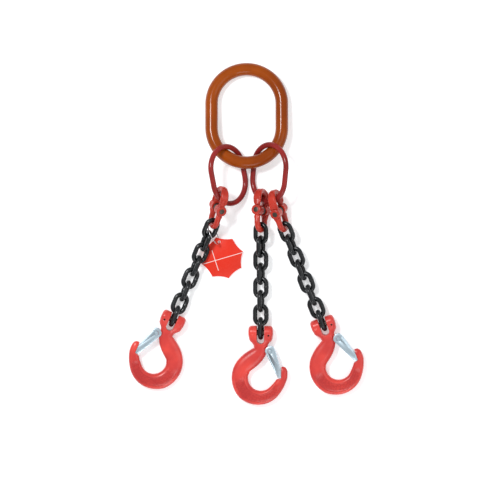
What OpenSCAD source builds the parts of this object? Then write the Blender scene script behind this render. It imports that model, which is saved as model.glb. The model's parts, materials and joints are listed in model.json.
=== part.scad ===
// Three-leg chain sling laid out flat, with its legs fanned on a surface.
// Origin: the crane hook's bearing point inside the top of the master link.
// +Y points out of the master link towards the crane, -Y runs down the legs, +Z is up.

/* [Master link] */
// Round bar of the master link
master_wire = 22; // [18:0.5:26]
// Clear width inside the master link
master_inner_w = 100; // [90:1:120]
// Clear length inside the master link
master_inner_l = 142; // [130:1:170]
// Height of the lower end above the surface, where the sub-links pass under it
master_lift = 15.5; // [12:0.5:20]

/* [Sub-links] */
// Round bar of a sub-link
sub_wire = 9.5; // [8:0.5:11]
// Clear width inside a sub-link
sub_inner_w = 66.5; // [60:0.5:72]
// Clear length inside a sub-link
sub_inner_l = 89.5; // [84:0.5:100]

/* [Couplers] */
// Bar of a coupler half at its crown
coupler_bar = 10; // [9:0.5:11]
// Overall length of a coupler
coupler_l = 77; // [70:1:84]
// Length of the sleeve between the inner lugs
sleeve_l = 12.4; // [10:0.2:14]
// Radius of the lugs that take the load pin
lug_r = 9; // [7.5:0.5:10]
// Width of one lug along the load pin
lug_w = 7.5; // [6:0.5:9]
// Diameter of a coupler's load pin
coupler_pin_d = 9; // [7:0.5:10]
// Outside diameter of the locking sleeve
sleeve_d = 13; // [11.5:0.5:15]

/* [Chain] */
// Round bar of a chain link
chain_wire = 8; // [7:0.5:8.5]
// Pitch, the clear length inside a link
chain_pitch = 24; // [23:0.5:28]
// Clear width inside a link
chain_inner_w = 12; // [11.5:0.5:14]
// Links in each leg
links = 8; // [4:2:8]
// Height of the weld bead above the bar
weld_h = 0.35; // [0.2:0.05:0.6]

/* [Hooks] */
// Width of the gap between the clevis ears
slot_w = 13; // [11:0.5:14]
// Depth of the gap below the load pin
slot_depth = 19.5; // [17:0.5:22]
// Radius of a clevis ear
ear_r = 11.6; // [11.4:0.2:12]
// Width of a clevis ear along the pin
ear_w = 14.8; // [12:0.2:17]
// Diameter of the hook's load pin
hook_pin_d = 9.5; // [8:0.5:10.5]
// Distance from the load pin to the centre of the bowl
bowl_drop = 79.5; // [74:0.5:88]
// Radius inside the bowl
bowl_r = 22; // [19:0.5:25]
// Width of the body behind the bowl
back_w = 29; // [24:0.5:32]
// Width of the body at the lip, under the latch
lip_w = 18; // [16:0.5:22]
// Width of the neck under the clevis
neck_w = 23.5; // [20:0.5:27]
// Thickness of the hook body at the bowl
hook_t = 18; // [14:0.5:21]
// Width of the point beside the latch
point_w = 10.6; // [9:0.2:13]

/* [Latches] */
// Diameter of the latch rivet
rivet_d = 5; // [4:0.25:6]
// Sheet of the latch
latch_sheet = 1.8; // [1.2:0.1:2.4]
// Overall width of the latch channel across its flanges
latch_t = 15; // [13:0.5:18]
// Wire of the latch spring
spring_wire = 1.2; // [0.8:0.1:1.4]

/* [Tag] */
// Distance across the tag's points
tag_d = 75; // [60:1:85]
// Thickness of the tag
tag_t = 2.6; // [1.5:0.1:4]
// Wire of the tag ring
ring_wire = 1.6; // [1.2:0.1:2.2]
// Mean diameter of the tag ring
ring_d = 37; // [34:0.5:42]

/* [Layout] */
// Swing of the left leg away from the middle one
left_yaw = -22.6; // [-28:0.1:-16]
// Swing of the right leg away from the middle one
right_yaw = 21.8; // [16:0.1:28]
// Roll of the first chain link, which every second link shares
chain_roll = 26; // [20:1:32]
// Twist of the chain from link to link
chain_twist = 2.5; // [0:0.5:3]

/* [Hidden] */
$fn = 32;
// Running clearance between pieces that hang in one another
fit_gap = 0.3;
// Radial clearance of a pin in its bore
pin_gap = 0.06;
floor_z = -master_wire / 2;

leg_names = ["left", "middle", "right"];
link_names = [for (leg = leg_names, k = [1:links]) str(leg, "_chain_link_", k)];
coupler_names = [for (leg = leg_names, p = ["upper_half", "lower_half", "load_pin", "sleeve"])
    str(leg, "_coupler_", p)];
hook_names = [for (leg = leg_names,
    p = ["hook_body", "hook_load_pin", "hook_retaining_pin", "latch", "latch_rivet", "latch_spring"])
    str(leg, "_", p)];

// Vectors turned as rotate([0, 0, yaw]) rotate([pitch, 0, 0]) rotate([0, roll, 0]) turns a solid.
// A pose is [yaw, pitch, roll]: positive pitch dips the -Y end, positive roll lifts the -X side.
function about_y(v, a) = [v.x * cos(a) + v.z * sin(a), v.y, v.z * cos(a) - v.x * sin(a)];
function about_x(v, a) = [v.x, v.y * cos(a) - v.z * sin(a), v.y * sin(a) + v.z * cos(a)];
function about_z(v, a) = [v.x * cos(a) - v.y * sin(a), v.x * sin(a) + v.y * cos(a), v.z];
function turned(v, pose) = about_z(about_x(about_y(v, pose[2]), pose[1]), pose[0]);
function down(pose) = turned([0, -1, 0], pose);

module posed(at, pose) {
    translate(at) rotate([0, 0, pose[0]]) rotate([pose[1], 0, 0]) rotate([0, pose[2], 0]) children();
}

// Round bar bent into a long link in the XY plane: two half rings joined by straight sides.
module bar_link(half_l, half_w, wire) {
    for (end = [0, 180]) rotate([0, 0, end]) {
        translate([0, half_l - half_w, 0])
            rotate_extrude(angle = 180, $fn = 64) translate([half_w, 0]) circle(d = wire);
        translate([half_w, half_w - half_l, 0]) rotate([-90, 0, 0])
            cylinder(d = wire, h = 2 * (half_l - half_w));
    }
}

// Master link: its top lies on the surface and its lower end rests on the sub-links.
master_half_l = (master_inner_l + master_wire) / 2;
master_half_w = (master_inner_w + master_wire) / 2;
master_pose = [0, -asin(master_lift / (2 * master_half_l)), 0];

module master_link() {
    color("#9c4a1c")
        posed([0, master_wire / 2, 0], master_pose)
            translate([0, -master_half_l, 0])
                bar_link(master_half_l, master_half_w, master_wire);
}

// Where a sub-link crosses the master link's lower end arc, measured from the arc's lowest point.
function cross_point(at) = [0, master_wire / 2, 0] + turned(
    [master_half_w * sin(at), master_half_w - 2 * master_half_l - master_half_w * cos(at), 0], master_pose);
function cross_way(at) = turned([cos(at), sin(at), 0], master_pose);

// Sub-links: [crossing angle, pose, sideways offset of the crossing inside the sub-link,
// allowance on the seat for the curve of both bars].
sub_half_l = (sub_inner_l + sub_wire) / 2;
sub_half_w = (sub_inner_w + sub_wire) / 2;
subs = [[-24.08, [10.68, 8.9, 43.11], 16.18, 1.045], [28.91, [-5.44, 8.92, -43.29], -16.32, 1.061]];

// Distance from the crossing to the sub-link's crown, longer as the two bars cross at a slant.
function sub_seat(s) = s[3] * (master_wire / 2 + sub_wire / 2 + fit_gap)
    / abs(cross_way(s[0]) * turned([0, 0, 1], s[1]));
function sub_centre(s) = cross_point(s[0]) - turned([s[2], sub_half_l - sub_seat(s), 0], s[1]);
function sub_point(s, at) = sub_centre(s) + turned(
    [sub_half_w * sin(at), sub_half_w - sub_half_l - sub_half_w * cos(at), 0], s[1]);
function sub_way(s, at) = turned([cos(at), sin(at), 0], s[1]);

module sub_link(s) {
    color("#8e1f2a")
        posed(sub_centre(s), s[1]) bar_link(sub_half_l, sub_half_w, sub_wire);
}

// Legs: [sub-link, place on its lower arc, coupler yaw and pitch, bar's sideways place in the eye,
// how far the coupler's crown stands off the bar, which crosses it at a slant, chain yaw,
// side that the chain's rolled links lift, hook yaw].
inner_lug = sleeve_l / 2 + fit_gap;
outer_lug = inner_lug + lug_w + fit_gap;
// How far a pin's end stays inside the lug or ear around it
pin_inset = 0.7;
pin_half = outer_lug + lug_w - pin_inset;
crown_r = outer_lug - fit_gap / 2;
sub_play = crown_r - coupler_bar / 2 - sub_wire / 2 - fit_gap;
legs = [
    [subs[0], -46, -16.7, 16, sub_play, 3.4, left_yaw, 1, left_yaw - 2.4],
    [subs[1], -16, -1.5, -5, -3.2, 2.6, 0, -1, 0],
    [subs[1], 31, 17.5, 13.5, 3, 1.2, right_yaw, -1, right_yaw - 1.8],
];
function coupler_pose(leg) = [leg[2], leg[3], leg[7] * (chain_roll + 90)];
crown_y = coupler_l / 2 - coupler_bar / 2 - crown_r;
// Along the coupler from its pin to the bar of the sub-link, which bears inside the crown.
function bar_reach(leg) = crown_y + sqrt(sub_play ^ 2 - leg[4] ^ 2) - leg[5];
function bar_centre(leg) = sub_point(leg[0], leg[1]);
function coupler_at(leg) = bar_centre(leg)
    - turned([leg[7] * -leg[4], bar_reach(leg), 0], coupler_pose(leg));

// Height of the hook's pin above the surface, on which the last chain link stands on edge.
hook_roll = 4;
clevis_half = slot_w / 2 + ear_w;
ear_edge = 5.6;
chain_half_w = (chain_inner_w + chain_wire) / 2;
edge_gap = 0.1;
hook_rest = chain_half_w + chain_wire / 2 + weld_h + edge_gap;
// The hook dips until its bowl lies this far above the surface.
bowl_gap = 2;
hook_dip = asin((hook_rest - hook_t / 2 - bowl_gap) / (bowl_drop + bowl_r + back_w / 2));

// Chain: every link hangs on the bar of the one before it.
link_drop = chain_pitch + chain_wire;
ease = [for (k = [1:links]) max(0, 1.28 - 0.28 * k)];
function total(list, from) = from < len(list) ? list[from] + total(list, from + 1) : 0;
ease_sum = total(ease, 0);
// The first link crosses the coupler's crown at a slant, which takes more room than bars at right angles.
slant_gap = 1.14;
first_at = coupler_l / 2 - coupler_bar - chain_wire / 2 - slant_gap;
function chain_start(leg) = coupler_at(leg) + first_at * down(coupler_pose(leg));
chain_run = link_drop * ease_sum - (chain_wire + fit_gap) * (ease_sum - ease[0]);
function chain_dip(leg) = asin((chain_start(leg).z - floor_z - hook_rest) / chain_run);
function link_pose(leg, k) = [leg[6], chain_dip(leg) * ease[k - 1],
    leg[7] * (chain_roll - chain_twist * (k - 1)) + (k % 2 == 0 ? 90 : 0)];
function link_at(leg, k) = k == 1 ? chain_start(leg)
    : link_at(leg, k - 1) + link_drop * down(link_pose(leg, k - 1))
        - (chain_wire + fit_gap) * down(link_pose(leg, k));

module weld_bead() {
    bead_r = chain_wire / 2 + weld_h;
    round_r = bead_r + 0.65;
    rotate([90, 0, 0]) rotate_extrude() intersection() {
        translate([bead_r - round_r, 0]) circle(r = round_r);
        translate([0, -round_r]) square([bead_r, 2 * round_r]);
    }
}

module chain_link(leg, k) {
    color("#2b2c2e")
        posed(link_at(leg, k), link_pose(leg, k)) {
            translate([0, -link_drop / 2, 0])
                bar_link(link_drop / 2, chain_half_w, chain_wire);
            translate([chain_half_w, -link_drop / 2, 0]) weld_bead();
        }
}

// Couplers: two alike half-rings, hinged on a load pin through interleaved lugs.

// Cylinder on the X axis from one place to another.
module x_bar(from, to, r) {
    translate([from, 0, 0]) rotate([0, 90, 0]) cylinder(r = r, h = to - from);
}

// Disc on the X axis with its far edge rounded.
module lug(from, width, r, edge) {
    translate([from, 0, 0]) rotate([0, 90, 0]) rotate_extrude() {
        square([r, width - edge]);
        square([r - edge, width]);
        translate([r - edge, width - edge]) circle(r = edge);
    }
}

// Drum on the X axis, centred, with both edges rounded.
module barrel(half, r, edge) {
    rotate([0, 90, 0]) rotate_extrude() {
        translate([0, -half]) square([r - edge, 2 * half]);
        translate([0, edge - half]) square([r, 2 * (half - edge)]);
        for (side = [-1, 1]) translate([r - edge, side * (half - edge)]) circle(r = edge);
    }
}

lug_edge = 2.5;
inner_edge = 0.8;

module coupler_half() {
    clear_r = lug_r + fit_gap;
    reach = outer_lug + lug_w;
    difference() {
        union() {
            difference() {
                union() {
                    translate([0, crown_y, 0])
                        rotate_extrude(angle = 180, $fn = 64)
                            translate([crown_r, 0]) circle(d = coupler_bar);
                    for (side = [-1, 1]) translate([side * crown_r, 0, 0]) rotate([-90, 0, 0])
                        cylinder(d = coupler_bar, h = crown_y);
                }
                x_bar(-outer_lug, inner_lug, clear_r);
                x_bar(inner_lug + lug_w, reach + lug_r, clear_r);
                x_bar(-reach - lug_r, -reach + 1, clear_r);
            }
            mirror([1, 0, 0]) lug(outer_lug, lug_w, lug_r, lug_edge);
            lug(inner_lug, lug_w, lug_r, inner_edge);
        }
        x_bar(-reach - 1, reach + 1, coupler_pin_d / 2 + pin_gap);
    }
}

module coupler_upper_half(leg) {
    color("#d9403c") posed(coupler_at(leg), coupler_pose(leg)) coupler_half();
}

module coupler_lower_half(leg) {
    color("#d9403c") posed(coupler_at(leg), coupler_pose(leg)) rotate([0, 0, 180]) coupler_half();
}

module coupler_load_pin(leg) {
    color("#5a4a44") posed(coupler_at(leg), coupler_pose(leg))
        x_bar(-pin_half, pin_half, coupler_pin_d / 2);
}

module coupler_sleeve(leg) {
    half = inner_lug - fit_gap;
    color("#8a8d90") posed(coupler_at(leg), coupler_pose(leg)) difference() {
        x_bar(-half, half, sleeve_d / 2);
        x_bar(-half - 1, half + 1, coupler_pin_d / 2 + pin_gap);
    }
}

// Hooks: the local origin is the load pin's centre, X runs along the pin to the latch's side.
function hook_pose(leg) = [leg[8], hook_dip, leg[7] * hook_roll];
function hook_at(leg) = link_at(leg, links)
    + (link_drop - chain_wire / 2 - hook_pin_d / 2 - fit_gap) * down(link_pose(leg, links));

module on_hook(leg) {
    posed(hook_at(leg), hook_pose(leg))
        if (leg[7] > 0) mirror([1, 0, 0]) children();
        else children();
}

function mix(a, b, t) = a + (b - a) * t;
function smooth(t) = t * t * (3 - 2 * t);
function bezier(p, t) = p[0] * (1 - t) ^ 3 + p[1] * 3 * t * (1 - t) ^ 2
    + p[2] * 3 * t ^ 2 * (1 - t) + p[3] * t ^ 3;

// Stations of the body: [x, y, direction angle, width, thickness], from the clevis to the point.
neck_y = -slot_depth - 8.5;
bowl_from = 152;
bowl_to = 360;
lip_flare = 6.5;
function bowl_w(a) = a < 225 ? back_w : mix(back_w, lip_w, ((a - 225) / (bowl_to - 225)) ^ 0.9);
function bowl_in(a) = bowl_r + (a < 315 ? 0 : lip_flare * ((a - 315) / 45) ^ 2);
function bowl_mid(a) = bowl_in(a) + bowl_w(a) / 2;
function bowl_at(a) = [bowl_mid(a) * cos(a), bowl_mid(a) * sin(a) - bowl_drop];
shank_pull = 13;
shank_curve = [
    [0, neck_y],
    [-0.5, neck_y - 12],
    bowl_at(bowl_from) + shank_pull * [sin(bowl_from), -cos(bowl_from)],
    bowl_at(bowl_from)];
point_h = 20;
yoke = [for (s = [[0, 1, 1.35], [-9, 1, 1.35], [-12.5, 0.93, 1.33], [-15.5, 0.72, 1.27], [-18.5, 0.35, 1.2],
    [-22, 0.1, 1.15]]) [0, s[0], -90, mix(neck_w, 2 * clevis_half - 1, s[1]), hook_t * s[2]]];
shank = [for (i = [0:11]) let (t = i / 12, p = bezier(shank_curve, t),
    q = bezier(shank_curve, t + 0.01) - p)
    [p.x, p.y, atan2(q.y, q.x), mix(neck_w, back_w, smooth(t)) + 4 * sin(180 * t) ^ 2,
     hook_t * mix(1.12, 1, t)]];
bowl = [for (i = [0:26]) let (a = mix(bowl_from, bowl_to, i / 26), p = bowl_at(a))
    [p.x, p.y, a + 90, bowl_w(a), hook_t * mix(1, 0.78, max(0, (a - 250) / 110))]];
lip_x = bowl_mid(bowl_to);
point = [for (t = [0.25, 0.45, 0.62, 0.76, 0.87, 0.95, 1]) let (narrow = sqrt(1 - 0.96 * t ^ 4))
    [lip_x + 1.2 * t, point_h * t - bowl_drop, 90, lip_w * narrow, hook_t * 0.78 * (0.3 + 0.7 * narrow)]];
stations = concat(yoke, shank, bowl, point);
sides = 24;

// Rounded-square section across the path: a superellipse whose faces are pressed in a little.
function section(s) = let (across = [sin(s[2]), -cos(s[2])])
    [for (i = [0:sides - 1]) let (a = 360 * i / sides, c = cos(a), n = sin(a),
        u = sign(c) * abs(c) ^ 0.75 * s[3] / 2, v = sign(n) * abs(n) ^ 0.75 * s[4] / 2)
        [s[0] + across.x * u, s[1] + across.y * u, v]];

module hook_form() {
    rings = len(stations);
    points = [for (s = stations) each section(s)];
    walls = [for (r = [0:rings - 2], i = [0:sides - 1]) let (j = (i + 1) % sides)
        [r * sides + i, r * sides + j, (r + 1) * sides + j, (r + 1) * sides + i]];
    caps = [[for (i = [sides - 1:-1:0]) i], [for (i = [0:sides - 1]) (rings - 1) * sides + i]];
    polyhedron(points, concat(walls, caps));
}

// Latch pivot, beside the neck, and the seat of the latch's tip under the point.
pivot = [16.5, -32.5];
ledge_y = -bowl_drop + 0.5;
point_in = lip_x + lip_w / 2 - point_w;
latch_head_r = 8.6;
pocket_gap = 2.4;
ledge_depth = 4;
throat_h = point_h + 10;
pivot_lug_t = 5.2;
boss_wall = 3;
pivot_lug_z = -2.6;
retain_r = 1.6;
retain_at = [slot_w / 2 + ear_w / 2, -hook_pin_d / 2 - 0.4];
retain_inset = 4;

module hook_body(leg) {
    color("#d9403c") on_hook(leg) difference() {
        union() {
            hook_form();
            barrel(clevis_half, ear_r, ear_edge);
            translate([0, 0, pivot_lug_z - pivot_lug_t / 2]) {
                translate(pivot) cylinder(r = rivet_d / 2 + boss_wall, h = pivot_lug_t);
                translate([0, pivot.y - rivet_d / 2 - boss_wall, 0])
                    cube([pivot.x, rivet_d + 2 * boss_wall, pivot_lug_t]);
            }
        }
        translate([-slot_w / 2, -slot_depth + slot_w / 2, -2 * ear_r])
            cube([slot_w, 4 * ear_r, 4 * ear_r]);
        translate([0, -slot_depth + slot_w / 2, -2 * ear_r]) cylinder(d = slot_w, h = 4 * ear_r);
        x_bar(-2 * clevis_half, 2 * clevis_half, hook_pin_d / 2 + pin_gap);
        translate([retain_at.x, retain_at.y, -2 * ear_r]) cylinder(r = retain_r + pin_gap, h = 4 * ear_r);
        for (side = [0, 1]) mirror([0, 0, side])
            translate([pivot.x, pivot.y, latch_t / 2 - latch_sheet - fit_gap])
                cylinder(r = latch_head_r + pocket_gap, h = hook_t);
        translate([pivot.x, pivot.y, -hook_t]) cylinder(d = rivet_d + 2 * pin_gap, h = 2 * hook_t);
        intersection() {
            translate([pivot.x, pivot.y, -hook_t])
                cylinder(r = norm(tip_at - pivot) + fit_gap, h = 2 * hook_t, $fn = 96);
            translate([bowl_r, ledge_y - ledge_depth, -hook_t])
                cube([point_in - bowl_r, throat_h + ledge_depth, 2 * hook_t]);
        }
    }
}

module hook_load_pin(leg) {
    color("#5a4a44") on_hook(leg) difference() {
        x_bar(pin_inset - clevis_half, clevis_half - pin_inset, hook_pin_d / 2);
        translate([retain_at.x, retain_at.y, -ear_r]) cylinder(r = retain_r + pin_gap, h = 2 * ear_r);
    }
}

module hook_retaining_pin(leg) {
    half = ear_r - retain_inset;
    color("#3c3f42") on_hook(leg)
        translate([retain_at.x, retain_at.y, -half]) cylinder(r = retain_r, h = 2 * half);
}

// Latch: a channel of folded sheet, open towards the neck, with its tip seated on the ledge.
tip_at = [point_in - fit_gap, ledge_y + fit_gap];

latch_head = [for (a = [14:9:185]) pivot + latch_head_r * [cos(a), sin(a)]];
latch_side = concat(latch_head, [tip_at - [5.5, 0], tip_at, [tip_at.x, tip_at.y + 12]]);
channel = [pivot + [-3 * latch_head_r, 2 * latch_head_r], pivot + [latch_head_r - 2.2, 2 * latch_head_r],
    pivot + [latch_head_r - 2.2, 2.1], [tip_at.x - latch_sheet, tip_at.y + 11.6],
    tip_at - [latch_sheet, 3], tip_at - [5 * latch_head_r, 3]];

module latch(leg) {
    color("#c3d3da") on_hook(leg) difference() {
        translate([0, 0, -latch_t / 2]) linear_extrude(latch_t) polygon(latch_side);
        translate([0, 0, latch_sheet - latch_t / 2])
            linear_extrude(latch_t - 2 * latch_sheet) polygon(channel);
        translate([pivot.x, pivot.y, -latch_t]) cylinder(d = rivet_d + 2 * pin_gap, h = 2 * latch_t);
    }
}

module latch_rivet(leg) {
    head_h = 1.4;
    half = latch_t / 2 + 0.15;
    color("#b9c6cc") on_hook(leg) translate([pivot.x, pivot.y, 0]) {
        translate([0, 0, -half]) cylinder(d = rivet_d, h = 2 * half);
        for (side = [0, 1]) mirror([0, 0, side]) translate([0, 0, half])
            cylinder(r1 = rivet_d * 0.86, r2 = rivet_d * 0.55, h = head_h);
    }
}

// Latch spring: a coil on the rivet, with one leg on the neck and one inside the latch.
spring_turns = 2.6;
coil_r = rivet_d / 2 + spring_wire / 2 + 0.5;
coil_low = pivot_lug_z + pivot_lug_t / 2 + spring_wire / 2 + fit_gap;
coil_high = latch_t / 2 - latch_sheet - spring_wire / 2 - fit_gap;

coil_from = -150;
outer_leg = 5;
inner_leg = 6;
function coil_turn(t) = coil_from - 360 * spring_turns * t;
function coil_point(t) = [coil_r * cos(coil_turn(t)), coil_r * sin(coil_turn(t)),
    mix(coil_low, coil_high, t)];

module wire_run(path, d, around) {
    count = len(path);
    points = [for (i = [0:count - 1])
        let (way = path[min(i + 1, count - 1)] - path[max(i - 1, 0)], w = way / norm(way),
             side = cross(w, [0, 0, 1]), s = side / norm(side), up = cross(s, w))
        each [for (j = [0:around - 1]) let (a = 360 * j / around)
            path[i] + d / 2 * (cos(a) * s + sin(a) * up)]];
    walls = [for (i = [0:count - 2], j = [0:around - 1]) let (k = (j + 1) % around)
        [i * around + j, i * around + k, (i + 1) * around + k, (i + 1) * around + j]];
    caps = [[for (j = [around - 1:-1:0]) j], [for (j = [0:around - 1]) (count - 1) * around + j]];
    polyhedron(points, concat(walls, caps));
}

module latch_spring(leg) {
    turns = [for (i = [0:40]) coil_point(i / 40)];
    first = turns[0];
    last = turns[40];
    start_way = [sin(coil_turn(0)), -cos(coil_turn(0)), 0];
    end_way = [sin(coil_turn(1)), -cos(coil_turn(1)), 0];
    path = concat([first - outer_leg * start_way], turns, [last + inner_leg * end_way]);
    color("#4a4e52") on_hook(leg) translate([pivot.x, pivot.y, 0]) wire_run(path, spring_wire, 8);
}

// Tag: an eight-pointed plate on a wire ring through the left leg's first link. The ring's place is
// set from that link, and the plate's from the ring.
ring_at = link_at(legs[0], 1) + [-0.8822, -25.0073, -12.8691];
tag_at = ring_at + [14.72, -39.96, -12.97];
tag_tilt = [0, 4.75, 2.61];
tag_hole = [-5.56, 27.8];
tag_hole_r = 2.6;
edge_r = 50;
edge_dip = 4.9;

module tag_plate() {
    color("#d8301c") posed(tag_at, tag_tilt)
        translate([0, 0, -tag_t / 2]) linear_extrude(tag_t) difference() {
            circle(d = tag_d, $fn = 96);
            for (i = [0:7]) rotate(17 + 22.5 + 45 * i)
                translate([tag_d / 2 - edge_dip + edge_r, 0]) circle(r = edge_r, $fn = 180);
            translate(tag_hole) circle(r = tag_hole_r);
        }
}

ring_pose = [25.27, 0, 73.45];

module tag_ring() {
    color("#c9ccd0") posed(ring_at, ring_pose)
        rotate_extrude($fn = 96) translate([ring_d / 2, 0]) circle(d = ring_wire);
}

master_link();
sub_link(subs[0]);  // left_sub_link
sub_link(subs[1]);  // right_sub_link
for (i = [0:2]) {
    leg = legs[i];
    name = leg_names[i];
    coupler_upper_half(leg);
    coupler_lower_half(leg);
    coupler_load_pin(leg);
    coupler_sleeve(leg);
    for (k = [1:links])
        chain_link(leg, k);
    hook_body(leg);
    hook_load_pin(leg);
    hook_retaining_pin(leg);
    latch(leg);
    latch_rivet(leg);
    latch_spring(leg);
}
tag_ring();
tag_plate();
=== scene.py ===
import json
import math

import bmesh
import bpy
import numpy as np
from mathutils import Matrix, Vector


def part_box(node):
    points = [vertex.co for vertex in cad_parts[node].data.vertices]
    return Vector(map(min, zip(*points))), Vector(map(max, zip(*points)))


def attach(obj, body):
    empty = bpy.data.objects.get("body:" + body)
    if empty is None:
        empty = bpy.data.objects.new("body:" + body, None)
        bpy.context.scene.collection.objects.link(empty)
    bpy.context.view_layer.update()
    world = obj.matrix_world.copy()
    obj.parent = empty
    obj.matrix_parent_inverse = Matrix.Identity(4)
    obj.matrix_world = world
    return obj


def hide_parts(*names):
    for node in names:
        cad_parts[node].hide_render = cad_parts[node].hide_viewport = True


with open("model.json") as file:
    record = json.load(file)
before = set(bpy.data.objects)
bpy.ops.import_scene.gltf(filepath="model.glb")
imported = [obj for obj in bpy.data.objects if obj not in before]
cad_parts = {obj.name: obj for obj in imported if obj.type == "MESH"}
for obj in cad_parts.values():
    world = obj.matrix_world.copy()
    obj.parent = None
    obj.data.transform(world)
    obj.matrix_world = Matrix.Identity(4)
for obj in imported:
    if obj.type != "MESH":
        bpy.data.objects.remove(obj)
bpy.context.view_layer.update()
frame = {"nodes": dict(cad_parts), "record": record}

MM = 0.001
LEGS = ("left", "middle", "right")
BODY_OF = {node: body for body, nodes in frame["record"]["behaviour"]["bodies"].items() for node in nodes}

# The photograph's frame: 500 pixels each way, looking straight down on the sling.
MM_PER_PIXEL = 1.74
ORIGIN_PIXEL = (246.7, 75.55)
FRAME_PIXELS = 500
CAMERA_HEIGHT = 3.2
SENSOR_WIDTH = 36
FLOOR = -0.0112


# Shapes

# Distance under which a CAD copy's corners are one, and the two pulls of one round of evening.
CAD_MERGE = 2e-6
PULLS = [0.6, -0.62]

# Shares of a link's bar: how far a weld bead spreads along it, and how far out it is looked for.
BEAD_SHARE = 0.2
OUTER_SHARE = 0.9


def triangles_of(node):
    """The node's triangles as an array of (count, 3 corners, xyz), in metres."""
    mesh = frame["nodes"][node].data
    mesh.calc_loop_triangles()
    spots = np.empty(len(mesh.vertices) * 3)
    mesh.vertices.foreach_get("co", spots)
    corners = np.empty(len(mesh.loop_triangles) * 3, dtype=np.int64)
    mesh.loop_triangles.foreach_get("vertices", corners)
    return spots.reshape(-1, 3)[corners].reshape(-1, 3, 3)


def surface_centre(tris):
    """The triangles' middles, their areas (doubled) and the centre of the surface."""
    area = np.linalg.norm(np.cross(tris[:, 1] - tris[:, 0], tris[:, 2] - tris[:, 0]), axis=1)
    middle = tris.mean(axis=1)
    return middle, area, (middle * area[:, None]).sum(axis=0) / area.sum()


def ring_frame(node):
    """Centre and axes of a flat ring: across, along and out of its plane, from its surface's spread.

    The spread matrix is the area-weighted sum of (corner - centre) times itself; its least
    direction is out of the plane and its greatest runs along the ring.
    """
    tris = triangles_of(node)
    middle, area, centre = surface_centre(tris)
    away = middle - centre
    spread = (away * area[:, None]).T @ away
    _, ways = np.linalg.eigh(spread)
    along = ways[:, 2] * (1 if ways[1, 2] > 0 else -1)
    out = ways[:, 0] * (1 if ways[2, 0] > 0 else -1)
    across = np.cross(along, out)
    spots = (tris.reshape(-1, 3) - centre) @ np.array([across, along, out]).T
    low, high = spots.min(axis=0), spots.max(axis=0)
    centre = centre + ((low + high) / 2) @ np.array([across, along, out])
    return centre, across, along, out, high - low


def grid_piece(name, points, capped=False):
    """A surface over a (u, v, xyz) grid of points that closes on itself: one four-sided face a cell.

    A capped one is open along u and has a flat face at each end instead.
    """
    count_u, count_v = points.shape[:2]
    rows = np.arange(count_u - 1 if capped else count_u)
    u, v = (grid.ravel() for grid in np.meshgrid(rows, np.arange(count_v), indexing="ij"))
    next_u, next_v = (u + 1) % count_u, (v + 1) % count_v
    faces = np.stack([u * count_v + v, next_u * count_v + v,
                      next_u * count_v + next_v, u * count_v + next_v], axis=1).tolist()
    if capped:
        faces += [list(range(count_v)), list(range((count_u - 1) * count_v, count_u * count_v))]
    mesh = bpy.data.meshes.new(name)
    mesh.from_pydata(points.reshape(-1, 3).tolist(), [], faces)
    piece = bpy.data.objects.new(name, mesh)
    bpy.context.collection.objects.link(piece)
    tidy_normals(piece)
    return piece


def tidy_normals(piece, merge=1e-7):
    """Merges doubles, closes poles, turns every face outwards and shades the piece smooth."""
    shape = bmesh.new()
    shape.from_mesh(piece.data)
    bmesh.ops.remove_doubles(shape, verts=shape.verts, dist=merge)
    bmesh.ops.dissolve_degenerate(shape, edges=shape.edges, dist=merge)
    bmesh.ops.recalc_face_normals(shape, faces=shape.faces)
    if shape.calc_volume(signed=True) < 0:
        bmesh.ops.reverse_faces(shape, faces=shape.faces)
    shape.to_mesh(piece.data)
    shape.free()
    piece.data.shade_smooth()


def copy_of(node, name, voxel=0.0, soften=0, bevel=0.0, sharp=math.radians(35), parts=()):
    """A merged copy of a CAD node, with its edges rounded by a voxel remesh or by a bevel.

    Closed parts are added before the remesh, which makes one skin of them and the copy.
    """
    piece = bpy.data.objects.new(name, frame["nodes"][node].data.copy())
    piece.data.materials.clear()
    bpy.context.collection.objects.link(piece)
    tidy_normals(piece, CAD_MERGE)
    if parts:
        weld_on(piece, parts)
    if voxel:
        remesh = piece.modifiers.new("forged edges", "REMESH")
        remesh.mode = "VOXEL"
        remesh.voxel_size = voxel
        apply_modifiers(piece)
        relax(piece, soften)
        piece.data.shade_smooth()
    elif bevel:
        edge = piece.modifiers.new("edge", "BEVEL")
        edge.width = bevel
        edge.segments = 2
        edge.limit_method = "ANGLE"
        edge.angle_limit = sharp
        apply_modifiers(piece)
        piece.data.shade_smooth()
        piece.data.set_sharp_from_angle(angle=sharp)
    else:
        piece.data.set_sharp_from_angle(angle=sharp)
    return piece


def weld_on(piece, parts):
    """Moves the faces of closed parts into the piece's mesh."""
    shape = bmesh.new()
    shape.from_mesh(piece.data)
    for part in parts:
        shape.from_mesh(part.data)
        bpy.data.objects.remove(part)
    shape.to_mesh(piece.data)
    shape.free()


def joint_named(name):
    """The record's joint of this name."""
    return next(joint for joint in frame["record"]["behaviour"]["joints"] if joint["name"] == name)


def apply_modifiers(piece):
    """Replaces the piece's mesh by what its modifiers make of it."""
    seen = piece.evaluated_get(bpy.context.evaluated_depsgraph_get())
    mesh = bpy.data.meshes.new_from_object(seen)
    piece.modifiers.clear()
    piece.data = mesh


def vertices_of(piece):
    """The piece's vertices as an array of (count, xyz)."""
    spots = np.empty(len(piece.data.vertices) * 3)
    piece.data.vertices.foreach_get("co", spots)
    return spots.reshape(-1, 3)


def set_vertices(piece, spots):
    """Puts the vertices back after they were moved."""
    piece.data.vertices.foreach_set("co", spots.ravel())
    piece.data.update()


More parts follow.
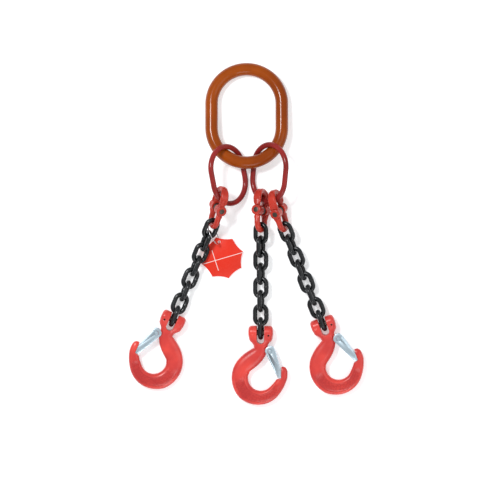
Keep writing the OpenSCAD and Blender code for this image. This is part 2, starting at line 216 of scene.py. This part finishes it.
def relax(piece, rounds):
    """Evens the surface: each vertex moves towards the mean of its neighbours, then a little back."""
    edges = np.empty(len(piece.data.edges) * 2, dtype=np.int64)
    piece.data.edges.foreach_get("vertices", edges)
    edges = edges.reshape(-1, 2)
    spots = vertices_of(piece)
    degree = np.bincount(edges.ravel(), minlength=len(spots))[:, None]
    for pull in PULLS * rounds:
        total = np.zeros_like(spots)
        for axis in range(3):
            total[:, axis] = (np.bincount(edges[:, 0], spots[edges[:, 1], axis], len(spots))
                              + np.bincount(edges[:, 1], spots[edges[:, 0], axis], len(spots)))
        spots = spots + pull * (total / np.maximum(degree, 1) - spots)
    set_vertices(piece, spots)


def weld_to_right(node, wire, bead, centre, across, inner):
    """The link's centre and X axis with its weld bead on the +X side, and the bead not counted."""
    sideways = (triangles_of(node).reshape(-1, 3) - centre) @ across
    side = 1 if np.median(sideways[np.abs(sideways) > inner + wire * OUTER_SHARE]) > 0 else -1
    return centre - across * side * bead / 2, across * side


def link_path(half_w, half_l, steps):
    """The centreline of a long link: its whole length, and each step's run, turn and shift along Y.

    It starts at one side's middle. The point is (half_w * cos(turn), shift + half_w * sin(turn)):
    the turn grows only round the two half circles, and the shift only along the straight sides.
    """
    straight = 2 * (half_l - half_w)
    bend = math.pi * half_w
    total = 2 * bend + 2 * straight
    run = np.arange(steps) * total / steps
    turn = np.clip(run - straight / 2, 0, bend) / half_w
    turn = turn + np.clip(run - straight * 1.5 - bend, 0, bend) / half_w
    shift = np.clip(run, 0, straight / 2) - np.clip(run - straight / 2 - bend, 0, straight)
    shift = shift + np.clip(run - straight * 1.5 - 2 * bend, 0, straight / 2)
    return total, run, turn, shift


def bar_link(name, node, wire, steps, bead=0.0, swell=0.0):
    """Round bar bent into a long link: two half circles joined by straight sides.

    At u along the centreline the point is centre(u) + r(u, v) * (cos v * outward + sin v * out),
    where r is half the bar, plus a weld bead at one side's middle and a slow forging swell.
    """
    centre, across, along, out, size = ring_frame(node)
    half_w = (size[0] - wire - bead) / 2
    half_l = (size[1] - wire) / 2
    if bead:
        centre, across = weld_to_right(node, wire, bead, centre, across, half_w - wire / 2)
        out = np.cross(across, along)
    total, run, turn, shift = link_path(half_w, half_l, steps[0])
    outward = np.cos(turn)[:, None] * across + np.sin(turn)[:, None] * along
    path = centre + half_w * np.cos(turn)[:, None] * across
    path = path + (shift + half_w * np.sin(turn))[:, None] * along
    v = np.arange(steps[1]) * 2 * math.pi / steps[1]
    from_bead = (run + total / 2) % total - total / 2
    radius = np.full(steps, wire / 2)
    radius += bead * np.exp(-(from_bead / (wire * BEAD_SHARE)) ** 2)[:, None]
    uneven = np.sin(3 * turn + 1)[:, None] * np.sin(2 * v) + np.sin(5 * turn)[:, None] * np.cos(v + 1)
    radius += swell * uneven / 2
    points = path[:, None] + radius[..., None] * (
        np.cos(v)[None, :, None] * outward[:, None] + np.sin(v)[None, :, None] * out)
    return grid_piece(name, points)


def dress(piece, node, coat):
    """The piece takes the node's place, rides on its body and gets its finish."""
    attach(piece, BODY_OF[node])
    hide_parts(node)
    piece.data.materials.clear()
    piece.data.materials.append(coat)


# Finishes

# Limits of noise or convexity between which a pattern fades in.
WEAR_CONVEX = (0.52, 0.62)
WEAR_PATCHES = (0.45, 0.62)
SHADE_SPREAD = (0.35, 0.65)
# The next limits break up the painted shade in the hooks' recessed webs.
WEB_SHADE_PATCHES = (0.4, 0.6)

# The usual scales of the worn patches and of the slow change of shade, in waves per metre.
WEAR_SCALE = 300.0
BROAD_SCALE = 25.0

# The coat's fine grain, the bare metal under it, and the painted shade in the hooks' recessed webs,
# broken up by a fine noise.
GRAIN_SCALE = 900.0
GRAIN_HEIGHT = 0.2 * MM
WORN_METALLIC = 0.9
WEB_SHADE_SCALE = 420.0
WEB_SHADE_SHARE = (0.35, 0.75)
WEB_SHADE_RED = (0.36, 0.014, 0.014)


def node_group(name, inputs, outputs):
    """An empty shader group of plain values in and masks out, and its two end nodes."""
    group = bpy.data.node_groups.new(name, "ShaderNodeTree")
    for label, value in inputs:
        socket = group.interface.new_socket(label, in_out="INPUT", socket_type="NodeSocketFloat")
        socket.default_value = value
    for label in outputs:
        group.interface.new_socket(label, in_out="OUTPUT", socket_type="NodeSocketFloat")
    return group, group.nodes.new("NodeGroupInput"), group.nodes.new("NodeGroupOutput")


def add(tree, kind, **values):
    """A node with its properties and input values set by name."""
    node = tree.nodes.new(kind)
    for key, value in values.items():
        if key in node.inputs:
            node.inputs[key].default_value = value
        else:
            setattr(node, key, value)
    return node


def remap(tree, given, wanted=(0.0, 1.0)):
    """A clamped node that turns one range of values into another."""
    node = add(tree, "ShaderNodeMapRange", clamp=True)
    for label, value in zip(("From Min", "From Max", "To Min", "To Max"), (*given, *wanted)):
        node.inputs[label].default_value = value
    return node


def wear_group():
    """Mask of worn edges: convexity of the surface, broken up by noise at a given scale."""
    group, start, end = node_group("edge wear", [("Amount", 0.5), ("Scale", WEAR_SCALE)], ["Mask"])
    shape = add(group, "ShaderNodeNewGeometry")
    edge = remap(group, WEAR_CONVEX)
    place = add(group, "ShaderNodeTexCoord")
    noise = add(group, "ShaderNodeTexNoise", Detail=6.0, Roughness=0.65)
    broken = remap(group, WEAR_PATCHES)
    times = add(group, "ShaderNodeMath", operation="MULTIPLY")
    scaled = add(group, "ShaderNodeMath", operation="MULTIPLY")
    link = group.links.new
    link(shape.outputs["Pointiness"], edge.inputs["Value"])
    link(place.outputs["Object"], noise.inputs["Vector"])
    link(start.outputs["Scale"], noise.inputs["Scale"])
    link(noise.outputs["Fac"], broken.inputs["Value"])
    link(edge.outputs["Result"], times.inputs[0])
    link(broken.outputs["Result"], times.inputs[1])
    link(times.outputs["Value"], scaled.inputs[0])
    link(start.outputs["Amount"], scaled.inputs[1])
    link(scaled.outputs["Value"], end.inputs["Mask"])
    return group


def mottle_group():
    """Slow change of shade and gloss over a coat: two noises, one broad and one fine."""
    group, start, end = node_group(
        "mottle", [("Broad", BROAD_SCALE), ("Fine", GRAIN_SCALE)], ["Shade", "Height"])
    place = add(group, "ShaderNodeTexCoord")
    broad = add(group, "ShaderNodeTexNoise", Detail=3.0)
    fine = add(group, "ShaderNodeTexNoise", Detail=5.0, Roughness=0.6)
    link = group.links.new
    for noise, size, result in ((broad, "Broad", "Shade"), (fine, "Fine", "Height")):
        link(place.outputs["Object"], noise.inputs["Vector"])
        link(start.outputs[size], noise.inputs["Scale"])
        link(noise.outputs["Fac"], end.inputs[result])
    return group


WEAR = wear_group()
MOTTLE = mottle_group()


def finish(name, color, deep, worn, metallic, rough, rough_worn,
           shine=0.5, wear=0.5, wear_scale=WEAR_SCALE, broad=BROAD_SCALE, bump=0.15):
    """A coated metal: shade varies between two tones, edges show the metal, and the coat is grained."""
    material = bpy.data.materials.new(name)
    material.use_nodes = True
    tree = material.node_tree
    shader = tree.nodes["Principled BSDF"]
    shader.inputs["Specular IOR Level"].default_value = shine
    edge = add(tree, "ShaderNodeGroup", node_tree=WEAR)
    edge.inputs["Amount"].default_value = wear
    edge.inputs["Scale"].default_value = wear_scale
    tone = add(tree, "ShaderNodeGroup", node_tree=MOTTLE)
    tone.inputs["Broad"].default_value = broad
    tone.inputs["Fine"].default_value = GRAIN_SCALE
    spread = remap(tree, SHADE_SPREAD)
    coatings = add(tree, "ShaderNodeMix", data_type="RGBA")
    coatings.inputs["A"].default_value = (*color, 1)
    coatings.inputs["B"].default_value = (*deep, 1)
    shown = add(tree, "ShaderNodeMix", data_type="RGBA")
    shown.inputs["B"].default_value = (*worn, 1)
    gloss = remap(tree, (0, 1), (rough, rough_worn))
    metal = remap(tree, (0, 1), (metallic, max(metallic, WORN_METALLIC)))
    grain = add(tree, "ShaderNodeBump", Strength=bump, Distance=GRAIN_HEIGHT)
    link = tree.links.new
    link(tone.outputs["Shade"], spread.inputs["Value"])
    link(spread.outputs["Result"], coatings.inputs["Factor"])
    link(coatings.outputs["Result"], shown.inputs["A"])
    link(edge.outputs["Mask"], shown.inputs["Factor"])
    link(shown.outputs["Result"], shader.inputs["Base Color"])
    link(edge.outputs["Mask"], gloss.inputs["Value"])
    link(gloss.outputs["Result"], shader.inputs["Roughness"])
    link(edge.outputs["Mask"], metal.inputs["Value"])
    link(metal.outputs["Result"], shader.inputs["Metallic"])
    link(tone.outputs["Height"], grain.inputs["Height"])
    link(grain.outputs["Normal"], shader.inputs["Normal"])
    return material


def shade_web_recess(material):
    """Paints shade into the hook's recessed web: darkens the coat by the web attribute, broken up by a
    fine noise.
    """
    tree = material.node_tree
    color = tree.nodes["Principled BSDF"].inputs["Base Color"]
    under = color.links[0].from_socket
    web = add(tree, "ShaderNodeAttribute", attribute_name="web")
    place = add(tree, "ShaderNodeTexCoord")
    grain = add(tree, "ShaderNodeTexNoise", Scale=WEB_SHADE_SCALE, Detail=4.0)
    patch = remap(tree, WEB_SHADE_PATCHES, WEB_SHADE_SHARE)
    amount = add(tree, "ShaderNodeMath", operation="MULTIPLY")
    shaded = add(tree, "ShaderNodeMix", data_type="RGBA")
    shaded.inputs["B"].default_value = (*WEB_SHADE_RED, 1)
    tree.links.new(place.outputs["Object"], grain.inputs["Vector"])
    tree.links.new(grain.outputs["Fac"], patch.inputs["Value"])
    tree.links.new(web.outputs["Fac"], amount.inputs[0])
    tree.links.new(patch.outputs["Result"], amount.inputs[1])
    tree.links.new(amount.outputs["Value"], shaded.inputs["Factor"])
    tree.links.new(under, shaded.inputs["A"])
    tree.links.new(shaded.outputs["Result"], color)


AMBER = finish("amber enamel", (0.31, 0.058, 0.002), (0.23, 0.038, 0.001), (0.42, 0.12, 0.03),
               0.0, 0.16, 0.3, shine=0.22, wear=0.3, broad=18.0, bump=0.05)
MAROON = finish("maroon enamel", (0.28, 0.022, 0.020), (0.20, 0.014, 0.013), (0.42, 0.08, 0.08),
                0.0, 0.17, 0.3, shine=0.25, wear=0.3, bump=0.05)
RED = finish("red coat", (0.70, 0.054, 0.040), (0.50, 0.030, 0.028), (0.88, 0.17, 0.13),
             0.0, 0.28, 0.38, wear=0.6, broad=28.0, bump=0.25)
# Painted shade in the hooks' recessed webs.
shade_web_recess(RED)
ORANGE_RED = finish("orange red coat", (0.50, 0.034, 0.018), (0.38, 0.022, 0.012), (0.85, 0.20, 0.12),
                    0.0, 0.26, 0.36, shine=0.4, wear=0.7, broad=60.0, bump=0.25)
# On the chain the worn tone is partly real edge wear and partly a painted bluish highlight on its convex
# spots.
BLACK = finish("black temper", (0.011, 0.013, 0.015), (0.005, 0.006, 0.007), (0.24, 0.25, 0.27),
               0.3, 0.24, 0.26, shine=0.55, wear=0.8, wear_scale=500.0, bump=0.25)
ZINC = finish("bright zinc", (0.54, 0.66, 0.74), (0.46, 0.58, 0.66), (0.8, 0.84, 0.86),
              0.85, 0.3, 0.22, bump=0.12)
STEEL = finish("oiled steel", (0.10, 0.075, 0.06), (0.06, 0.05, 0.045), (0.3, 0.28, 0.26),
               0.8, 0.4, 0.3, wear=0.6)
WIRE = finish("bright wire", (0.6, 0.61, 0.63), (0.5, 0.51, 0.53), (0.75, 0.76, 0.78),
              0.95, 0.22, 0.2, wear=0.3)


# Rings and chain

MASTER_WIRE = 22 * MM
SUB_WIRE = 9.5 * MM
CHAIN_WIRE = 8 * MM
WELD = 0.35 * MM
LINKS = 8

# Steps along the bar and round it.
MASTER_STEPS = (320, 64)
SUB_STEPS = (240, 40)
CHAIN_STEPS = (112, 28)

master_ring = bar_link("master_ring", "master_link", MASTER_WIRE, MASTER_STEPS, swell=0.15 * MM)
dress(master_ring, "master_link", AMBER)
for side in ("left", "right"):
    node = side + "_sub_link"
    sub_ring = bar_link(side + "_sub_ring", node, SUB_WIRE, SUB_STEPS, swell=0.08 * MM)
    dress(sub_ring, node, MAROON)
for leg in LEGS:
    for count in range(1, LINKS + 1):
        node = f"{leg}_chain_link_{count}"
        bent = bar_link(f"{leg}_link_{count}", node, CHAIN_WIRE, CHAIN_STEPS, bead=WELD, swell=0.06 * MM)
        dress(bent, node, BLACK)


# Couplers

# A half's crown is its round bar carried half round a centre, this far from the pin.
COUPLER_BAR = 10 * MM
CROWN_RADIUS = 14.15 * MM
CROWN_START = 19.35 * MM

# Widths of the forged plates on the bar, out of the half's plane: at the upper crown's top and its
# sides, at the lower crown, and where the two arms' plates end, with the ends' distance from the pin.
CROWN_TOP_WIDTH = 10.6 * MM
CROWN_SIDE_WIDTH = 14.5 * MM
CHAIN_END_WIDTH = 6 * MM
EYE_END = {"place": 5.5 * MM, "width": 15.5 * MM}
SHOULDER_END = {"place": 9.8 * MM, "width": 12 * MM}

# Where a plate starts outside the bar's centreline, its bevels, and the share of its length over
# which its end is rounded.
BACK_FROM = 0.5 * MM
BACK_BEVEL = 2 * MM
FLANK_BEVEL = 1 * MM
END_SHARE = 0.3
CROWN_STEPS = 49
ARM_STEPS = 13
COUPLER_VOXEL = 0.5 * MM
PIN_BEVEL = 0.5 * MM


def half_frame(node, leg):
    """A coupler half's axes: X along its pin, Y from the pin to its crown, Z out of its plane."""
    pin = joint_named(leg + "_coupler_pin")
    origin = np.array(pin["pos_m"])
    across = np.array(pin["axis"]) / np.linalg.norm(pin["axis"])
    up = surface_centre(triangles_of(node))[2] - origin
    up = up - (up @ across) * across
    up = up / np.linalg.norm(up)
    return origin, np.array([across, up, np.cross(across, up)])


def plate_sections(reach, width, bevel):
    """Sections of a forged plate outside the bar, as (place, corner, outwards and sideways).

    Each has two inner corners and a flat outer face between two bevels; reach and width are arrays.
    """
    half = width / 2
    inner = np.full_like(half, BACK_FROM)
    outwards = np.stack([inner, reach - bevel, reach, reach, reach - bevel, inner], axis=1)
    sideways = np.stack([-half, -half, bevel - half, half - bevel, half, half], axis=1)
    return outwards, sideways


def crown_back(node, leg):
    """The broad back of the crown: a section turned half round the crown's centre.

    Its width is the top's plus |cos(turn)| times what the sides have more.
    """
    origin, axes = half_frame(node, leg)
    turn = np.linspace(0, math.pi, CROWN_STEPS)
    width = CROWN_TOP_WIDTH + (CROWN_SIDE_WIDTH - CROWN_TOP_WIDTH) * np.abs(np.cos(turn))
    outwards, sideways = plate_sections(np.full_like(turn, COUPLER_BAR / 2), width, BACK_BEVEL)
    radius = CROWN_RADIUS + outwards
    local = np.stack([radius * np.cos(turn)[:, None],
                      CROWN_START + radius * np.sin(turn)[:, None], sideways], axis=-1)
    return grid_piece(node + "_back", origin + local @ axes, capped=True)


def arm_flank(node, leg, side, end, crown_width):
    """A plate on an arm's outer side: width in proportion from its end to the crown, the end rounded."""
    origin, axes = half_frame(node, leg)
    places = np.linspace(end["place"], CROWN_START, ARM_STEPS)
    part = (places - end["place"]) / (CROWN_START - end["place"])
    ease = np.sqrt(np.clip(part / END_SHARE, 0, 1))
    width = end["width"] + (crown_width - end["width"]) * part - (1 - ease) * 2 * FLANK_BEVEL
    reach = COUPLER_BAR / 2 - FLANK_BEVEL * (2 - ease)
    outwards, sideways = plate_sections(reach, width, FLANK_BEVEL)
    local = np.stack([side * (CROWN_RADIUS + outwards),
                      np.broadcast_to(places[:, None], outwards.shape), sideways], axis=-1)
    return grid_piece(node + "_flank", origin + local @ axes, capped=True)


for leg in LEGS:
    for half, crown_width in (("upper", CROWN_SIDE_WIDTH), ("lower", CHAIN_END_WIDTH)):
        node = f"{leg}_coupler_{half}_half"
        plates = [arm_flank(node, leg, *end, crown_width) for end in ((-1, EYE_END), (1, SHOULDER_END))]
        if half == "upper":
            plates.append(crown_back(node, leg))
        forging = copy_of(node, f"{leg}_coupler_{half}", voxel=COUPLER_VOXEL, soften=5, parts=plates)
        dress(forging, node, ORANGE_RED)
    for part in ("load_pin", "sleeve"):
        node = f"{leg}_coupler_{part}"
        dress(copy_of(node, f"{leg}_coupler_{part}_bar", bevel=PIN_BEVEL), node, STEEL)


# Hooks

# Place of the bowl's centre along the hook's Y, its inner radius, and the metal's width round it,
# which narrows from the back to the lip over these degrees about the centre.
BOWL_CENTRE = -79.5 * MM
BOWL_INNER = 22.0 * MM
BACK_WIDTH = 29.0 * MM
LIP_WIDTH = 18.0 * MM
NARROW_FROM = 225
NARROW_OVER = 135

# The pressed web fades in and out over these shares of the bowl's width and these degrees, on the
# part of the surface that is this far from the hook's middle plane. A rim rises beside it.
WEB_DEPTH = 1.7 * MM
WEB_BAND = (0.20, 0.27, 0.76, 0.83)
WEB_ARC = (170, 196, 322, 344)
WEB_FACE = (4 * MM, 6.5 * MM)
RIM_RISE = 0.35 * MM
RIM_PLACE = 0.90
RIM_SPREAD = 0.05

# The throat web's thickness inside the latch's channel and behind it, where its outline is inset.
# The outline runs over these degrees of the bowl, then through places in millimetres from the pin.
CHANNEL_WEB = 10.3 * MM
THROAT_WEB = 15.4 * MM
THROAT_INSET = (-2.2 * MM, 2 * MM)
THROAT_BOWL = (165, 150, 138, 128)
THROAT_EDGE = ((-6.5, -57.3), (-0.3, -52), (4.5, -45.5), (8, -40), (9.6, -36.8))
THROAT_ROOT = ((9.6, -27), (0, -27), (0, -36), (-12, -46), (-27, -66))
HOOK_VOXEL = 0.65 * MM


def hook_frame(leg):
    """A hook's own axes: X along its load pin to the latch's side, Z out of its face, Y to the pin."""
    pin = joint_named(leg + "_hook_swing")
    pivot = joint_named(leg + "_latch_open")
    origin = np.array(pin["pos_m"])
    out = np.array(pivot["axis"])
    out = out * np.sign(out[2])
    across = np.array(pin["axis"])
    across = across * np.sign(across @ (np.array(pivot["pos_m"]) - origin))
    up = np.cross(out, across)
    up = up * -np.sign(up @ (np.array(pivot["pos_m"]) - origin))
    return origin, np.array([across, up, out])


def throat_web(leg, inset, thick):
    """The web between the latch's pivot and the bowl: an outline carried across its thickness.

    The outline follows the bowl's circle at the given degrees, then the throat's edge and root.
    """
    origin, axes = hook_frame(leg)
    turn = np.radians(THROAT_BOWL)
    bowl = np.stack([np.cos(turn), np.sin(turn)], axis=1) * BOWL_INNER + (0, BOWL_CENTRE)
    outline = np.concatenate([bowl, np.array(THROAT_EDGE + THROAT_ROOT) * MM]) + inset
    local = np.array([[(x, y, z) for x, y in outline] for z in (-thick / 2, thick / 2)])
    return grid_piece(leg + "_throat", origin + local @ axes, capped=True)


def smoothstep(low, high, value):
    """0 below low, 1 above high and 3t^2 - 2t^3 between."""
    t = np.clip((value - low) / (high - low), 0, 1)
    return t * t * (3 - 2 * t)


def plateau(edges, value):
    """1 between the two inner edges, fading to 0 at the two outer ones."""
    return smoothstep(edges[0], edges[1], value) * (1 - smoothstep(edges[2], edges[3], value))


def press_web(piece, leg):
    """Presses the forged web into both faces of the bowl and raises the rim outside it.

    At angle a and radius r about the bowl's centre the face sinks by (depth * band(r) - rim(r)) *
    arc(a), where band is 1 over the web and arc fades towards the neck and the point.
    """
    origin, axes = hook_frame(leg)
    spots = vertices_of(piece)
    x, y, z = ((spots - origin) @ axes.T).T
    angle = np.degrees(np.arctan2(y - BOWL_CENTRE, x)) % 360
    radius = np.hypot(x, y - BOWL_CENTRE)
    narrow = np.clip((angle - NARROW_FROM) / NARROW_OVER, 0, 1) ** 0.9
    place = (radius - BOWL_INNER) / (BACK_WIDTH + (LIP_WIDTH - BACK_WIDTH) * narrow)
    band = plateau(WEB_BAND, place)
    arc = plateau(WEB_ARC, angle)
    face = smoothstep(*WEB_FACE, np.abs(z))
    rim = np.exp(-((place - RIM_PLACE) / RIM_SPREAD) ** 2) * RIM_RISE
    sink = (WEB_DEPTH * band - rim) * arc * face
    set_vertices(piece, spots - (np.sign(z) * sink)[:, None] * axes[2])
    # Mask of the recessed web, where the coat gets its painted shade.
    shade = piece.data.attributes.new("web", "FLOAT", "POINT")
    shade.data.foreach_set("value", band * arc * face)


# Node, new name, bevel, slot and finish of the hook's small parts.
SMALL_PARTS = (
    ("hook_load_pin", "hook_load_pin_bar", 0.4 * MM, "dark_steel", STEEL),
    ("hook_retaining_pin", "hook_retaining_pin_bar", 0.4 * MM, "dark_steel", STEEL),
    ("latch", "latch_channel", 0.4 * MM, "zinc", ZINC),
    ("latch_rivet", "rivet", 0.3 * MM, "zinc", ZINC),
    ("latch_spring", "spring_wire", 0.0, "dark_steel", STEEL))

for leg in LEGS:
    node = leg + "_hook_body"
    webs = [throat_web(leg, (0, 0), CHANNEL_WEB), throat_web(leg, THROAT_INSET, THROAT_WEB)]
    forging = copy_of(node, leg + "_hook_forging", voxel=HOOK_VOXEL, soften=6, parts=webs)
    press_web(forging, leg)
    dress(forging, node, RED)
    for part, label, bevel, slot, coat in SMALL_PARTS:
        node = f"{leg}_{part}"
        dress(copy_of(node, f"{leg}_{label}", bevel=bevel), node, coat)


# Tag

TAG_CENTRE = np.mean([list(corner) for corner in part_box("tag_plate")], axis=0)
UPRIGHT = 0.8
OFF_FACE = (1, 1, 0)

# Ends of the two printed lines, in pixels of the photograph.
LONG_LINE = ((202.5, 264.3), (243.5, 252.2))
SHORT_LINE = ((212.0, 250.5), (218.4, 270.6))
LINE_WIDTH = 0.75 * MM
LINE_BLUR = 0.15 * MM
LINE_WHITE = (0.86, 0.80, 0.78)


def to_plan(pixel):
    """A pixel of the photograph as x and y on the layout, in metres."""
    return np.array([pixel[0] - ORIGIN_PIXEL[0], ORIGIN_PIXEL[1] - pixel[1]]) * MM_PER_PIXEL * MM


def mark_face(piece):
    """Stores on each face corner its plan place relative to the tag, far away off the upper face."""
    mesh = piece.data
    corners = np.empty(len(mesh.loops), dtype=np.int64)
    mesh.loops.foreach_get("vertex_index", corners)
    plan = vertices_of(piece)[corners] - TAG_CENTRE
    upright = np.empty(len(mesh.polygons) * 3)
    mesh.polygons.foreach_get("normal", upright)
    sizes = np.empty(len(mesh.polygons), dtype=np.int64)
    mesh.polygons.foreach_get("loop_total", sizes)
    printed = np.repeat(upright.reshape(-1, 3)[:, 2] > UPRIGHT, sizes)
    plan[:, 2] = 0
    plan[~printed] = OFF_FACE
    mesh.attributes.new("print_place", "FLOAT_VECTOR", "CORNER").data.foreach_set("vector", plan.ravel())


def line_mask(tree, ends, width):
    """1 on a straight printed line between two plan places: close across it and between its ends."""
    start, end = (to_plan(pixel) - TAG_CENTRE[:2] for pixel in ends)
    length = np.linalg.norm(end - start)
    way = (end - start) / length
    place = add(tree, "ShaderNodeAttribute", attribute_name="print_place")
    off = add(tree, "ShaderNodeVectorMath", operation="SUBTRACT")
    off.inputs[1].default_value = (*((start + end) / 2), 0)
    tree.links.new(place.outputs["Vector"], off.inputs[0])
    parts = []
    for direction, reach in (((-way[1], way[0], 0), width / 2), ((way[0], way[1], 0), length / 2)):
        along = add(tree, "ShaderNodeVectorMath", operation="DOT_PRODUCT")
        along.inputs[1].default_value = direction
        size = add(tree, "ShaderNodeMath", operation="ABSOLUTE")
        near = remap(tree, (reach, reach + LINE_BLUR), (1, 0))
        tree.links.new(off.outputs["Vector"], along.inputs[0])
        tree.links.new(along.outputs["Value"], size.inputs[0])
        tree.links.new(size.outputs["Value"], near.inputs["Value"])
        parts.append(near.outputs["Result"])
    both = add(tree, "ShaderNodeMath", operation="MULTIPLY")
    tree.links.new(parts[0], both.inputs[0])
    tree.links.new(parts[1], both.inputs[1])
    return both.outputs["Value"]


def print_lines(material):
    """Lays two thin white lines over the tag's red, in the colour only."""
    tree = material.node_tree
    color = tree.nodes["Principled BSDF"].inputs["Base Color"]
    under = color.links[0].from_socket
    for ends in (LONG_LINE, SHORT_LINE):
        over = add(tree, "ShaderNodeMix", data_type="RGBA")
        over.inputs["B"].default_value = (*LINE_WHITE, 1)
        tree.links.new(line_mask(tree, ends, LINE_WIDTH), over.inputs["Factor"])
        tree.links.new(under, over.inputs["A"])
        under = over.outputs["Result"]
    tree.links.new(under, color)


TAG = finish("red print", (0.74, 0.026, 0.008), (0.68, 0.022, 0.006), (0.85, 0.2, 0.14), 0.0, 0.35, 0.5,
             shine=0.3, wear=0.3)
print_lines(TAG)
disc = copy_of("tag_plate", "tag_disc", bevel=0.35 * MM)
mark_face(disc)
dress(disc, "tag_plate", TAG)
dress(copy_of("tag_ring", "tag_wire"), "tag_ring", WIRE)


# Floor, light and camera

MIDDLE = (0.0, -0.3, 0.0)
FLOOR_COLOR = (0.82, 0.84, 0.86, 1)
FLOOR_ROUGHNESS = 0.7
FLOOR_GLOW = 0.36
WORLD_LIGHT = 0.5

# A matt floor, with a little light of its own to keep it white.
bpy.ops.mesh.primitive_plane_add(size=8, location=(MIDDLE[0], MIDDLE[1], FLOOR))
floor = bpy.context.object
floor.name = "floor"
floor_coat = bpy.data.materials.new("floor")
floor_coat.use_nodes = True
floor_shader = floor_coat.node_tree.nodes["Principled BSDF"]
floor_shader.inputs["Base Color"].default_value = FLOOR_COLOR
floor_shader.inputs["Roughness"].default_value = FLOOR_ROUGHNESS
floor_shader.inputs["Emission Color"].default_value = (1, 1, 1, 1)
floor_shader.inputs["Emission Strength"].default_value = FLOOR_GLOW
floor.data.materials.append(floor_coat)

world = bpy.data.worlds.new("studio")
bpy.context.scene.world = world
world.use_nodes = True
world.node_tree.nodes["Background"].inputs["Color"].default_value = (1, 1, 1, 1)
world.node_tree.nodes["Background"].inputs["Strength"].default_value = WORLD_LIGHT


def area_light(name, place, size, power):
    """A square soft lamp that faces the sling's middle."""
    data = bpy.data.lights.new(name, "AREA")
    data.size = size
    data.energy = power
    lamp = bpy.data.objects.new(name, data)
    lamp.location = place
    lamp.rotation_euler = (Vector(MIDDLE) - Vector(place)).to_track_quat("-Z", "Y").to_euler()
    bpy.context.collection.objects.link(lamp)


area_light("key", (-0.75, 0.35, 1.9), 0.4, 28)
area_light("fill", (1.2, -0.4, 1.5), 1.2, 5)
area_light("rim", (0.2, -1.4, 1.0), 0.7, 5)

camera_data = bpy.data.cameras.new("camera")
camera = bpy.data.objects.new("camera", camera_data)
bpy.context.collection.objects.link(camera)
bpy.context.scene.camera = camera
frame_width = FRAME_PIXELS * MM_PER_PIXEL * MM
camera.location = ((FRAME_PIXELS / 2 - ORIGIN_PIXEL[0]) * MM_PER_PIXEL * MM,
                   -(FRAME_PIXELS / 2 - ORIGIN_PIXEL[1]) * MM_PER_PIXEL * MM, CAMERA_HEIGHT)
camera_data.sensor_width = SENSOR_WIDTH
camera_data.lens = SENSOR_WIDTH * CAMERA_HEIGHT / frame_width
camera_data.clip_end = 50

bpy.context.scene.view_settings.view_transform = "Standard"
